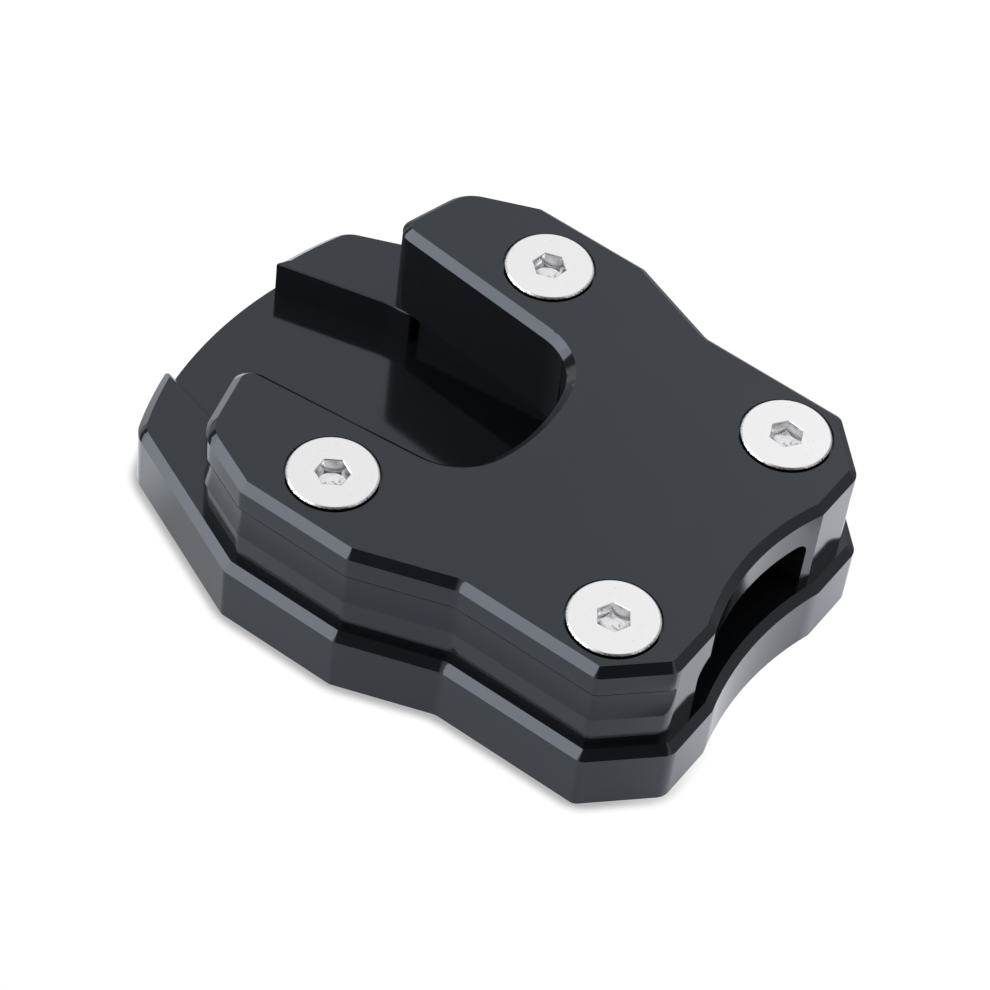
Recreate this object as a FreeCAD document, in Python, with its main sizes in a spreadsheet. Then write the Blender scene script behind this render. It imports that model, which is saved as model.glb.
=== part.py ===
import FreeCAD, Part
import math
import os
import re

import Sketcher

V = FreeCAD.Vector
os.makedirs("parts", exist_ok=True)
doc = FreeCAD.newDocument("kickstand_foot_enlarger")

# Driving dimensions in millimetres and degrees
# The origin is under the middle of the foot, +X runs to the scalloped front, +Z is up
SIZES = {
    "base_thickness": 10.4,
    "clamp_thickness": 14.6,
    "pocket_depth": 5.5,
    "channel_rise": 9.0,
    "front_reach": 43.4,
    "shoulder_half_width": 32.8,
    "waist_step": 4.9,
    "front_corner_cut": 7.2,
    "shoulder_rear": 15.8,
    "shoulder_front": 1.3,
    "waist_rear": 14.8,
    "shoulder_angle": 24.3,
    "arm_rear": 25.6,
    "arm_end_angle": 15.1,
    "arm_corner_radius": 5.5,
    "side_corner_radius": 1.6,
    "waist_fillet_radius": 3.0,
    "front_corner_radius": 2.4,
    "ledge": 1.95,
    "rear_reach": 45.35,
    "rear_radius": 60.25,
    "rear_centre_shift": 1.5,
    "rear_corner_radius": 4.5,
    "clamp_scallop_radius": 34.4,
    "clamp_scallop_depth": 2.35,
    "base_scallop_radius": 44.6,
    "base_scallop_depth": 1.8,
    "slot_mouth_half_width": 17.8,
    "slot_taper": 5.65,
    "slot_end": 6.85,
    "slot_end_radius": 26.0,
    "slot_corner_radius": 8.6,
    "slot_shift": 0.25,
    "slot_tip_radius": 2.5,
    "pocket_half_width": 17.5,
    "pocket_shift": -0.23,
    "pocket_flare": 14.9,
    "pocket_waist": 26.7,
    "pocket_blend_radius": 6.0,
    "pocket_end": 23.5,
    "pocket_end_radius": 11.0,
    "pocket_edge_break": 0.4,
    "channel_near_side": 14.8,
    "channel_far_side": 11.0,
    "channel_near_radius": 3.2,
    "channel_far_radius": 2.0,
    "channel_rear": 12.3,
    "clamp_chamfer": 1.15,
    "base_chamfer": 1.15,
    "edge_break": 0.3,
    "groove_top": 10.0,
    "groove_width": 5.1,
    "groove_depth": 0.45,
    "groove_lip_radius": 0.4,
    "rear_screw_inset": 17.5,
    "rear_screw_edge": 9.1,
    "front_screw_inset": 10.65,
    "front_screw_edge": 8.25,
    "screw_diameter": 6.0,
    "screw_length": 25.0,
    "screw_tip_chamfer": 0.9,
    "head_diameter": 12.0,
    "head_rim": 0.7,
    "head_proud": 0.42,
    "head_cone_angle": 90.0,
    "head_recess_gap": 0.3,
    "head_recess_depth": 0.8,
    "socket_width": 4.0,
    "socket_depth": 2.5,
    "clearance_hole": 6.6,
    "thread_gap": 0.05,
    "seat_gap": 0.03,
    "drill_point_angle": 31.0,
    "rear_right_turn": 34.4,
    "rear_left_turn": 19.8,
    "front_right_turn": 5.5,
    "front_left_turn": 54.7,
}
# How close two lengths are that count as the same
NEAR = 1e-4
# How far a blank or a cut runs past the face that ends it
OVERRUN = 6
# The front corners are cut by as much along the front as along the side
FRONT_CORNER_RUN = "45 deg"
FULL_TURN = 360
HEX_SIDES = 6

sheet = doc.addObject("Spreadsheet::Sheet", "Sizes")
for row, (alias, number) in enumerate(SIZES.items(), start=1):
    sheet.set("A%d" % row, alias.replace("_", " "))
    sheet.set("B%d" % row, "%g" % number)
    sheet.setAlias("B%d" % row, alias)
doc.recompute()


def cells(text):
    # Every size named in an expression is looked up in the sheet
    def looked_up(word):
        return "Sizes." + word[0] if word[0] in SIZES else word[0]
    return re.sub(r"[a-z]+(?:_[a-z]+)*", looked_up, str(text))


def value(text):
    result = sheet.evalExpression(cells(text))
    return float(getattr(result, "Value", result))


def plane_of(body, role):
    return next(item for item in body.Origin.OriginFeatures if item.Role == role)


class Plan:
    # A sketch whose points, radii and directions are bound to the sheet
    def __init__(self, body, name, role="XY_Plane", height=None):
        self.sketch = body.newObject("Sketcher::SketchObject", name)
        self.sketch.AttachmentSupport = [(plane_of(body, role), "")]
        self.sketch.MapMode = "FlatFace"
        if height is not None:
            self.sketch.setExpression("AttachmentOffset.Base.z", cells(height))

    def bind(self, kind, *args):
        *place, text = args
        index = self.sketch.addConstraint(Sketcher.Constraint(kind, *place, value(text)))
        self.sketch.setExpression("Constraints[%d]" % index, cells(text))

    def tie(self, kind, *place):
        self.sketch.addConstraint(Sketcher.Constraint(kind, *place))

    def put(self, geo, pos, x, y):
        for kind, axis, text in (("DistanceX", -2, x), ("DistanceY", -1, y)):
            if str(text) == "0":
                self.tie("PointOnObject", geo, pos, axis)
            else:
                self.bind(kind, -1, 1, geo, pos, text)

    def line(self, start, end):
        return self.sketch.addGeometry(Part.LineSegment(start, end))

    def disc(self, x, y, radius):
        circle = Part.Circle(V(value(x), value(y), 0), V(0, 0, 1), value(radius))
        index = self.sketch.addGeometry(circle)
        self.put(index, 3, x, y)
        self.bind("Radius", index, radius)

    def arc(self, centre, radius, start, end):
        # The short arc between two points, with the numbers of its start and its end
        turns_left = (start - centre).cross(end - centre).z > 0
        pair = (start, end) if turns_left else (end, start)
        angles = [math.atan2(point.y - centre.y, point.x - centre.x) for point in pair]
        circle = Part.Circle(centre, V(0, 0, 1), radius)
        index = self.sketch.addGeometry(Part.ArcOfCircle(circle, *angles))
        return (index, 1, 2) if turns_left else (index, 2, 1)

    def route(self, stops, closed=True):
        # Straight runs through the stops (x, y, radius or None), rounded by tangent arcs
        points = [V(value(x), value(y), 0) for x, y, radius in stops]
        count = len(stops)
        last = count if closed else count - 1
        starts, ends = list(points), list(points)
        for k, (x, y, radius) in enumerate(stops):
            if radius is not None:
                before = (points[k - 1] - points[k]).normalize()
                after = (points[(k + 1) % count] - points[k]).normalize()
                reach = value(radius) / math.tan(before.getAngle(after) / 2)
                ends[k], starts[k] = points[k] + before * reach, points[k] + after * reach
        lines = [self.line(starts[k], ends[(k + 1) % count]) for k in range(last)]
        for k, (x, y, radius) in enumerate(stops):
            inner = closed or 0 < k < count - 1
            into, out = lines[k - 1], lines[k] if k < last else None
            if not inner:
                self.put(*((out, 1) if k == 0 else (into, 2)), x, y)
            elif radius is None:
                self.tie("Coincident", into, 2, out, 1)
                self.put(out, 1, x, y)
            else:
                mark = self.sketch.addGeometry(Part.Point(points[k]), True)
                self.put(mark, 1, x, y)
                self.tie("PointOnObject", mark, 1, into)
                self.tie("PointOnObject", mark, 1, out)
                centre = corner_centre(ends[k], starts[k], points[k], value(radius))
                arc, first, second = self.arc(centre, value(radius), ends[k], starts[k])
                self.tie("Tangent", into, 2, arc, first)
                self.tie("Tangent", out, 1, arc, second)
                self.bind("Radius", arc, radius)

    def runs_under(self, edge):
        # Whether the middle of an edge lies straight above or below the outline
        middle = edge.valueAt((edge.FirstParameter + edge.LastParameter) / 2)
        probe = Part.Vertex(middle.x, middle.y, self.sketch.Placement.Base.z)
        return self.sketch.Shape.distToShape(probe)[0] < NEAR


def corner_centre(start, end, tip, radius):
    middle = (start + end) * 0.5
    inward = (middle - tip).normalize()
    half = (start - end).Length / 2
    return middle + inward * (radius ** 2 - half ** 2) ** 0.5


def feature(body, kind, name, plan, through=False, **texts):
    made = body.newObject("PartDesign::" + kind, name)
    made.Profile = plan.sketch
    if through:
        made.Type = "ThroughAll"
    for prop, text in texts.items():
        made.setExpression(prop, cells(text))
    doc.recompute()
    return made


def turned_about_axis(body, kind, name, plan):
    made = feature(body, kind, name, plan)
    made.ReferenceAxis = (plan.sketch, ["V_Axis"])
    made.Angle = FULL_TURN
    doc.recompute()


def dress(body, kind, name, before, picked, text):
    # A fillet or chamfer on the edges that the test picks
    edges = ["Edge%d" % (k + 1) for k, edge in enumerate(before.Shape.Edges) if picked(edge)]
    made = body.newObject("PartDesign::" + kind, name)
    made.Base = (before, edges)
    made.setExpression("Radius" if kind == "Fillet" else "Size", cells(text))
    doc.recompute()
    return made


def lies_at(height):
    def picked(edge):
        box = edge.BoundBox
        return abs(box.ZMin - height) < NEAR and abs(box.ZMax - height) < NEAR
    return picked


def stands_up(edge):
    return edge.Curve.TypeId == "Part::GeomLine" and abs(edge.tangentAt(edge.FirstParameter).z) > 1 - NEAR


def make_body(label):
    body = doc.addObject("PartDesign::Body", label)
    body.Label = label
    return body


# Corners of the side walls of the clamp plate, from the rear arm to the front face
SHOULDER_RUN = "shoulder_angle * 1 deg"
WAIST = "(shoulder_half_width - waist_step)"
WAIST_RUN = "atan(waist_step / (waist_rear - shoulder_front))"
ARM_SIDE = "shoulder_half_width - (arm_rear - shoulder_rear) * tan(%s)" % SHOULDER_RUN
ARM_END = ("-arm_rear - (%s) * tan(arm_end_angle * 1 deg)" % ARM_SIDE, "0", None)
ARM_CORNER = ("-arm_rear", ARM_SIDE, "arm_corner_radius")


def side_stops(gap="0"):
    # The wall corners of one side, moved outwards by the gap
    shoulder = "shoulder_half_width + %s" % gap
    waist = "%s + %s" % (WAIST, gap)
    corner = "%s * tan(%s / 2)" % (gap, FRONT_CORNER_RUN)
    return [
        ("-shoulder_rear - %s * tan((%s) / 2)" % (gap, SHOULDER_RUN), shoulder, "side_corner_radius"),
        ("shoulder_front + %s * tan(%s / 2)" % (gap, WAIST_RUN), shoulder, "side_corner_radius"),
        ("waist_rear + %s * tan(%s / 2)" % (gap, WAIST_RUN), waist, "waist_fillet_radius"),
        ("front_reach - front_corner_cut + %s" % corner, waist, "side_corner_radius"),
        ("front_reach + %s" % gap, "%s - front_corner_cut + %s" % (WAIST, corner), "front_corner_radius"),
    ]


def mirrored(stops):
    return [(x, "-(%s)" % y, radius) for x, y, radius in reversed(stops)]


def scallop(body, name, height, reach, radius, depth):
    # A shallow round cut across the front face
    plan = Plan(body, name + "_plan", height=height)
    plan.disc("%s - %s + %s" % (reach, depth, radius), "0", radius)
    return feature(body, "Pocket", name, plan, through=True)


# The screws keep their distance from the arms' ends, the front face and the side walls
REAR_X, REAR_Y = "-(arm_rear - rear_screw_inset)", "shoulder_half_width - rear_screw_edge"
FRONT_X, FRONT_Y = "front_reach - front_screw_inset", "%s - front_screw_edge" % WAIST
SCREWS = {
    "screw_rear_right": (REAR_X, "-(%s)" % REAR_Y, "rear_right_turn"),
    "screw_rear_left": (REAR_X, REAR_Y, "rear_left_turn"),
    "screw_front_right": (FRONT_X, "-(%s)" % FRONT_Y, "front_right_turn"),
    "screw_front_left": (FRONT_X, FRONT_Y, "front_left_turn"),
}


def at_screws(body, name, height, diameter):
    plan = Plan(body, name, height=height)
    for x, y, turn in SCREWS.values():
        plan.disc(x, y, "(%s) / 2" % diameter)
    doc.recompute()
    return plan


def drill(body, name, height, diameter):
    plan = at_screws(body, name + "_plan", height, diameter)
    hole = body.newObject("PartDesign::Hole", name)
    hole.Profile = plan.sketch
    hole.DepthType = "ThroughAll"
    hole.setExpression("Diameter", cells(diameter))
    doc.recompute()
    return hole


# Base plate: the wide foot that stands on the ground
base = make_body("base_plate")
base_plan = Plan(base, "base_outline")
base_flank = side_stops("ledge")
# The straight flanks run back until they meet the round rear edge
FLANK_BACK = "-rear_reach - %s" % OVERRUN
FLANK_SIDE = "%s - (%s - (%s)) * tan(%s)" % (base_flank[0][1], base_flank[0][0], FLANK_BACK, SHOULDER_RUN)
half_base = [(FLANK_BACK, FLANK_SIDE, None)] + base_flank
base_plan.route(half_base + mirrored(half_base))
feature(base, "Pad", "base_block", base_plan, Length="base_thickness")
# The rear edge is one round sweep: all outside its circle is cut off
REAR_CENTRE = "-rear_reach + rear_radius"
FRAME = "rear_radius + %s" % OVERRUN
rear_plan = Plan(base, "rear_edge_plan", height="base_thickness")
rear_plan.disc(REAR_CENTRE, "rear_centre_shift", "rear_radius")
frame_side = [("%s - (%s)" % (REAR_CENTRE, FRAME), FRAME, None),
              ("%s + %s" % (REAR_CENTRE, FRAME), FRAME, None)]
rear_plan.route(frame_side + mirrored(frame_side))
rear_edge = feature(base, "Pocket", "rear_edge", rear_plan, through=True)
behind_arms = value("-arm_rear - ledge")
dress(base, "Fillet", "rear_corners", rear_edge,
      lambda edge: stands_up(edge) and edge.BoundBox.XMax < behind_arms, "rear_corner_radius")
scalloped = scallop(base, "base_scallop", "base_thickness", "(front_reach + ledge)", "base_scallop_radius",
                    "base_scallop_depth")
top_cut = dress(base, "Chamfer", "base_top_chamfer", scalloped, lies_at(value("base_thickness")),
                "base_chamfer")
dress(base, "Chamfer", "sole_edge_break", top_cut, lies_at(0), "edge_break")

# Pocket that takes the foot of the stand: narrow at its mouth, closed and round in front
MOUTH_SIDE = "pocket_half_width - (rear_reach + %s - pocket_waist) * tan(pocket_flare * 1 deg)" % OVERRUN
half_pocket = [(FLANK_BACK, MOUTH_SIDE, None), ("-pocket_waist", "pocket_half_width", "pocket_blend_radius"),
               ("pocket_end", "pocket_half_width", "pocket_end_radius")]
pocket_plan = Plan(base, "pocket_plan", height="base_thickness")
pocket_plan.route(half_pocket + mirrored(half_pocket))
pocket_plan.sketch.setExpression("AttachmentOffset.Base.y", cells("pocket_shift"))
sunk = feature(base, "Pocket", "foot_pocket", pocket_plan, Length="pocket_depth")


def on_pocket_edge(edge):
    return lies_at(value("base_thickness"))(edge) and pocket_plan.runs_under(edge)


dress(base, "Chamfer", "pocket_edge_chamfer", sunk, on_pocket_edge, "pocket_edge_break")
drill(base, "tapped_holes", "base_thickness", "screw_diameter + 2 * thread_gap")

# Clamp plate: closes over the foot of the stand, with the slot for its leg
CLAMP_TOP = "base_thickness + clamp_thickness"
clamp = make_body("clamp_plate")
clamp_plan = Plan(clamp, "clamp_outline", height="base_thickness")
half_clamp = [ARM_CORNER] + side_stops()
clamp_plan.route([ARM_END] + half_clamp + mirrored(half_clamp))
feature(clamp, "Pad", "clamp_block", clamp_plan, Length="clamp_thickness")
scallop(clamp, "clamp_scallop", CLAMP_TOP, "front_reach", "clamp_scallop_radius", "clamp_scallop_depth")

# The slot narrows towards its closed end, which is bowed and has round corners
slot_plan = Plan(clamp, "slot_plan", height=CLAMP_TOP)
slot_taper = math.radians(value("slot_taper"))
bow_radius, slot_corner = value("slot_end_radius"), value("slot_corner_radius")
bow_centre = V(value("slot_end") - bow_radius, 0, 0)
# The corner's centre runs beside the wall until it is inside the bow by the corner's radius
mouth = V(-value("rear_reach"), value("slot_mouth_half_width"), 0)
beside = mouth - V(0, slot_corner / math.cos(slot_taper), 0)
wall_run = V(math.cos(slot_taper), -math.sin(slot_taper), 0)
offset = beside - bow_centre
along = offset.dot(wall_run)
reach = (along ** 2 - offset.dot(offset) + (bow_radius - slot_corner) ** 2) ** 0.5 - along
corner_spot = beside + wall_run * reach
wall_meets = corner_spot + V(math.sin(slot_taper), math.cos(slot_taper), 0) * slot_corner
bow_meets = bow_centre + (corner_spot - bow_centre).normalize() * bow_radius


def to_side(point, hand):
    return V(point.x, hand * point.y, 0)


bow, bow_right, bow_left = slot_plan.arc(bow_centre, bow_radius, to_side(bow_meets, -1), bow_meets)
slot_plan.put(bow, 3, "slot_end - slot_end_radius", "0")
slot_plan.bind("Radius", bow, "slot_end_radius")
slot_walls = {}
for hand, sign, bow_end in ((1, "", bow_left), (-1, "-", bow_right)):
    wall = slot_plan.line(to_side(mouth, hand), to_side(wall_meets, hand))
    slot_plan.put(wall, 1, "-rear_reach", sign + "slot_mouth_half_width")
    corner, wall_end, corner_end = slot_plan.arc(
        to_side(corner_spot, hand), slot_corner, to_side(wall_meets, hand), to_side(bow_meets, hand))
    slot_plan.bind("Radius", corner, "slot_corner_radius")
    slot_plan.tie("Tangent", wall, 2, corner, wall_end)
    slot_plan.tie("Tangent", bow, bow_end, corner, corner_end)
    slot_plan.bind("Angle", wall, sign + "(-slot_taper) * 1 deg")
    slot_walls[hand] = wall
slot_mouth = slot_plan.line(to_side(mouth, -1), mouth)
slot_plan.tie("Coincident", slot_mouth, 1, slot_walls[-1], 1)
slot_plan.tie("Coincident", slot_mouth, 2, slot_walls[1], 1)
slot_plan.sketch.setExpression("AttachmentOffset.Base.y", cells("slot_shift"))
slotted = feature(clamp, "Pocket", "leg_slot", slot_plan, through=True)
mouth_half, arms_back = value("slot_mouth_half_width"), value("-arm_rear")
arm_tips = dress(clamp, "Fillet", "arm_tips", slotted,
                 lambda edge: stands_up(edge) and edge.BoundBox.XMax < arms_back
                 and abs(edge.CenterOfMass.y) < mouth_half, "slot_tip_radius")
dress(clamp, "Chamfer", "clamp_top_chamfer", arm_tips, lies_at(value(CLAMP_TOP)), "clamp_chamfer")

# Channel for the front of the stand's foot, open at the scallop
CHANNEL_FOOT = "base_thickness - edge_break"
CHANNEL_TOP = "base_thickness + channel_rise"
channel_plan = Plan(clamp, "channel_section", role="YZ_Plane", height="front_reach")
channel_plan.route([("-channel_near_side", CHANNEL_FOOT, None), ("channel_far_side", CHANNEL_FOOT, None),
                    ("channel_far_side", CHANNEL_TOP, "channel_far_radius"),
                    ("-channel_near_side", CHANNEL_TOP, "channel_near_radius")])
feature(clamp, "Pocket", "foot_channel", channel_plan, Length="front_reach + channel_rear")

# Screw holes: a straight recess round each head, then the cone that it seats on
recess_plan = at_screws(clamp, "head_recess_plan", CLAMP_TOP, "head_diameter + 2 * head_recess_gap")
feature(clamp, "Pocket", "head_recesses", recess_plan, Length="head_recess_depth")
HALF_CONE = "(head_cone_angle / 2 * 1 deg)"
SUNK_RIM = "(head_recess_depth + head_proud - head_rim)"
holes = drill(clamp, "countersunk_holes", CLAMP_TOP + " - head_recess_depth", "clearance_hole")
holes.HoleCutType = "Countersink"
holes.HoleCutCustomValues = True
holes.setExpression("HoleCutCountersinkAngle", cells("head_cone_angle * 1 deg"))
holes.setExpression("HoleCutDiameter", cells("head_diameter - 2 * %s * tan(%s) + 2 * seat_gap / cos(%s)" % (
    SUNK_RIM, HALF_CONE, HALF_CONE)))
doc.recompute()

# Grip groove: a scoop led along the side wall, tightly rounded under its upper lip and
# running out below in a wide arc
GROOVE_MID = "(shoulder_front - shoulder_rear) / 2"
GROOVE_TOP = "base_thickness + groove_top"
DEEPEST = "(%s - groove_lip_radius)" % GROOVE_TOP
SCOOP_RADIUS = "(((groove_width - groove_lip_radius) ^ 2 + groove_depth ^ 2) / (2 * groove_depth))"
scoop_plan = Plan(clamp, "groove_section", role="YZ_Plane", height=GROOVE_MID)
scoop_radius, scoop_depth, lip_radius = value(SCOOP_RADIUS), value("groove_depth"), value("groove_lip_radius")
inmost = V(value("shoulder_half_width") - scoop_depth, value(DEEPEST), 0)
scoop_centre = inmost + V(scoop_radius, 0, 0)
lip_centre = inmost + V(lip_radius, 0, 0)
under_lip = lip_centre + V(0, lip_radius, 0)
# The section reaches as far out of the wall as it goes in
outmost = inmost.x + 2 * scoop_depth
drop = (scoop_radius ** 2 - (scoop_radius - 2 * scoop_depth) ** 2) ** 0.5
lip_end, lowest = V(outmost, under_lip.y, 0), V(outmost, inmost.y - drop, 0)
lip = scoop_plan.line(lip_end, under_lip)
lip_arc, lip_top, lip_low = scoop_plan.arc(lip_centre, lip_radius, under_lip, inmost)
scoop, scoop_top, scoop_low = scoop_plan.arc(scoop_centre, scoop_radius, inmost, lowest)
outside = scoop_plan.line(lowest, lip_end)
scoop_plan.put(lip, 1, "shoulder_half_width + groove_depth", GROOVE_TOP)
scoop_plan.tie("Horizontal", lip)
scoop_plan.tie("Tangent", lip, 2, lip_arc, lip_top)
scoop_plan.bind("Radius", lip_arc, "groove_lip_radius")
scoop_plan.tie("Tangent", lip_arc, lip_low, scoop, scoop_top)
scoop_plan.bind("Radius", scoop, SCOOP_RADIUS)
scoop_plan.put(scoop, 3, "shoulder_half_width - groove_depth + %s" % SCOOP_RADIUS, DEEPEST)
scoop_plan.tie("Coincident", scoop, scoop_low, outside, 1)
scoop_plan.tie("Coincident", outside, 2, lip, 1)
scoop_plan.tie("Vertical", outside)
doc.recompute()
side = side_stops()
groove_start = (GROOVE_MID, "shoulder_half_width", None)
# Forwards it follows the cut front corner and runs out through the front face
groove_front = ("front_reach + %s" % OVERRUN, "%s - front_corner_cut - %s" % (WAIST, OVERRUN), None)
GROOVE_PATHS = {
    "groove_forward": [groove_start] + side[1:4] + [groove_front],
    "groove_rearward": [groove_start, side[0], ARM_CORNER, ARM_END],
}
sweeps = []
for name, path_stops in GROOVE_PATHS.items():
    path = Plan(clamp, name + "_path", height=GROOVE_TOP)
    path.route(path_stops, closed=False)
    doc.recompute()
    sweep = feature(clamp, "SubtractivePipe", name, scoop_plan)
    sweep.Spine = (path.sketch, [])
    doc.recompute()
    sweeps.append(sweep)
other_side = clamp.newObject("PartDesign::Mirrored", "groove_other_side")
other_side.Originals = sweeps
other_side.MirrorPlane = (plane_of(clamp, "XZ_Plane"), [""])
clamp.Tip = other_side
doc.recompute()


def hexagon(across):
    # The corners of a hexagon, with one corner on the X axis
    corners = []
    for turn in range(0, FULL_TURN, FULL_TURN // HEX_SIDES):
        height = "0" if turn % (FULL_TURN // 2) == 0 else "%s * sin(%d deg)" % (across, turn)
        corners.append(("%s * cos(%d deg)" % (across, turn), height, None))
    return corners


# Countersunk socket screws, four alike
HEAD_RADIUS, SHANK_RADIUS = "head_diameter / 2", "screw_diameter / 2"
CONE_END = "-head_rim - (head_diameter - screw_diameter) / 2 / tan(%s)" % HALF_CONE
SOCKET_HALF = "socket_width / 2"
for label, (x, y, turn) in SCREWS.items():
    screw = make_body(label)
    profile = Plan(screw, label + "_section", role="XZ_Plane")
    profile.route([("0", "0", None), (HEAD_RADIUS, "0", None), (HEAD_RADIUS, "-head_rim", None),
                   (SHANK_RADIUS, CONE_END, None), (SHANK_RADIUS, "-screw_length + screw_tip_chamfer", None),
                   (SHANK_RADIUS + " - screw_tip_chamfer", "-screw_length", None),
                   ("0", "-screw_length", None)])
    turned_about_axis(screw, "Revolution", label + "_turned", profile)
    socket_plan = Plan(screw, label + "_socket_plan")
    socket_plan.route(hexagon("(socket_width / %d ^ 0.5)" % (HEX_SIDES // 2)))
    feature(screw, "Pocket", label + "_socket", socket_plan, Length="socket_depth")
    tip = Plan(screw, label + "_drill_point_plan", role="XZ_Plane")
    tip.route([("0", "-socket_depth", None), (SOCKET_HALF, "-socket_depth", None),
               ("0", "-socket_depth - %s * tan(drill_point_angle * 1 deg)" % SOCKET_HALF, None)])
    turned_about_axis(screw, "Groove", label + "_drill_point", tip)
    screw.setExpression("Placement.Base.x", cells(x))
    screw.setExpression("Placement.Base.y", cells(y))
    screw.setExpression("Placement.Base.z", cells(CLAMP_TOP + " + head_proud"))
    screw.setExpression("Placement.Rotation.Angle", cells("%s * 1 deg" % turn))

doc.recompute()
for item in doc.Objects:
    if "Invalid" in item.State or "Error" in item.State:
        raise RuntimeError("%s failed: %s" % (item.Name, item.State))
for body in [item for item in doc.Objects if item.isDerivedFrom("PartDesign::Body")]:
    if body.Shape.isNull() or not body.Shape.isValid() or len(body.Shape.Solids) != 1:
        raise RuntimeError("%s has no single valid solid" % body.Label)
    body.Shape.exportStep("parts/%s.step" % body.Label)
    box = body.Shape.BoundBox
    print("%-18s volume %9.1f  x %.2f..%.2f  y %.2f..%.2f  z %.2f..%.2f" % (
        body.Label, body.Shape.Volume, box.XMin, box.XMax, box.YMin, box.YMax, box.ZMin, box.ZMax))
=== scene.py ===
"""Looks of a kickstand foot enlarger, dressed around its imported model."""

import logging
import math
from dataclasses import dataclass, field
from enum import Enum
from typing import Callable, Sequence, Union

import bpy
from mathutils import Matrix, Vector


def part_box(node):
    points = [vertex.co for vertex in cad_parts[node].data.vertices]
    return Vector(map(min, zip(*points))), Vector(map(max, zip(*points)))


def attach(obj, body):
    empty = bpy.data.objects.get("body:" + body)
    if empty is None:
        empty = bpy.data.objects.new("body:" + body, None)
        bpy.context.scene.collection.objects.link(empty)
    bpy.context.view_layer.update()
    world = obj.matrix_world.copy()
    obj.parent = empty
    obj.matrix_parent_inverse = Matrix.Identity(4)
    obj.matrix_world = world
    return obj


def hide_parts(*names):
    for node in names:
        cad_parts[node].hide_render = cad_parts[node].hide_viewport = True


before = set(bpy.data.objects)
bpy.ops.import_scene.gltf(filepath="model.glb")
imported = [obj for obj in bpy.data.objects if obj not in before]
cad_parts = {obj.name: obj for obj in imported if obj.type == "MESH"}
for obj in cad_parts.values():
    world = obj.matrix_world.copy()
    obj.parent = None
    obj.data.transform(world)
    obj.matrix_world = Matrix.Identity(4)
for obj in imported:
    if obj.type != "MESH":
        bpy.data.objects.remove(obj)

MM = 0.001
WELD = 0.0005 * MM
GROOVE_LOW = 15.3 * MM
GROOVE_HIGH = 20.4 * MM
NOISE_MIDDLE = 0.5
LOG = logging.getLogger("foot_enlarger")
Value = Union[float, "Signal"]


class Slot(Enum):
    """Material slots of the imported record."""

    BLACK_ANODISED = "black_anodised"
    BRIGHT_STEEL = "bright_steel"


class Plate(Enum):
    """The two machined plates, by the name of their node."""

    BASE = "base_plate"
    CLAMP = "clamp_plate"


class Corner(Enum):
    """The four screws: node name and the turn of the socket about the screw's axis, in degrees."""

    REAR_RIGHT = ("screw_rear_right", 34.4)
    REAR_LEFT = ("screw_rear_left", 19.8)
    FRONT_RIGHT = ("screw_front_right", 5.5)
    FRONT_LEFT = ("screw_front_left", 54.7)


class Signal:
    """A shader socket that can be used like a number in a Python expression."""

    def __init__(self, graph: "Graph", socket: bpy.types.NodeSocket) -> None:
        """Wrap one output socket of a graph."""
        self.graph = graph
        self.socket = socket

    def _math(self, operation: str, first: Value, second: Value) -> "Signal":
        """Return the result of a new Math node with two inputs."""
        return self.graph.node("ShaderNodeMath", {"operation": operation}, {0: first, 1: second})

    def __add__(self, other: Value) -> "Signal":
        """Return self + other."""
        return self._math("ADD", self, other)

    def __radd__(self, other: Value) -> "Signal":
        """Return other + self."""
        return self._math("ADD", other, self)

    def __sub__(self, other: Value) -> "Signal":
        """Return self - other."""
        return self._math("SUBTRACT", self, other)

    def __rsub__(self, other: Value) -> "Signal":
        """Return other - self."""
        return self._math("SUBTRACT", other, self)

    def __mul__(self, other: Value) -> "Signal":
        """Return self * other."""
        return self._math("MULTIPLY", self, other)

    def __rmul__(self, other: Value) -> "Signal":
        """Return other * self."""
        return self._math("MULTIPLY", other, self)


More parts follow.
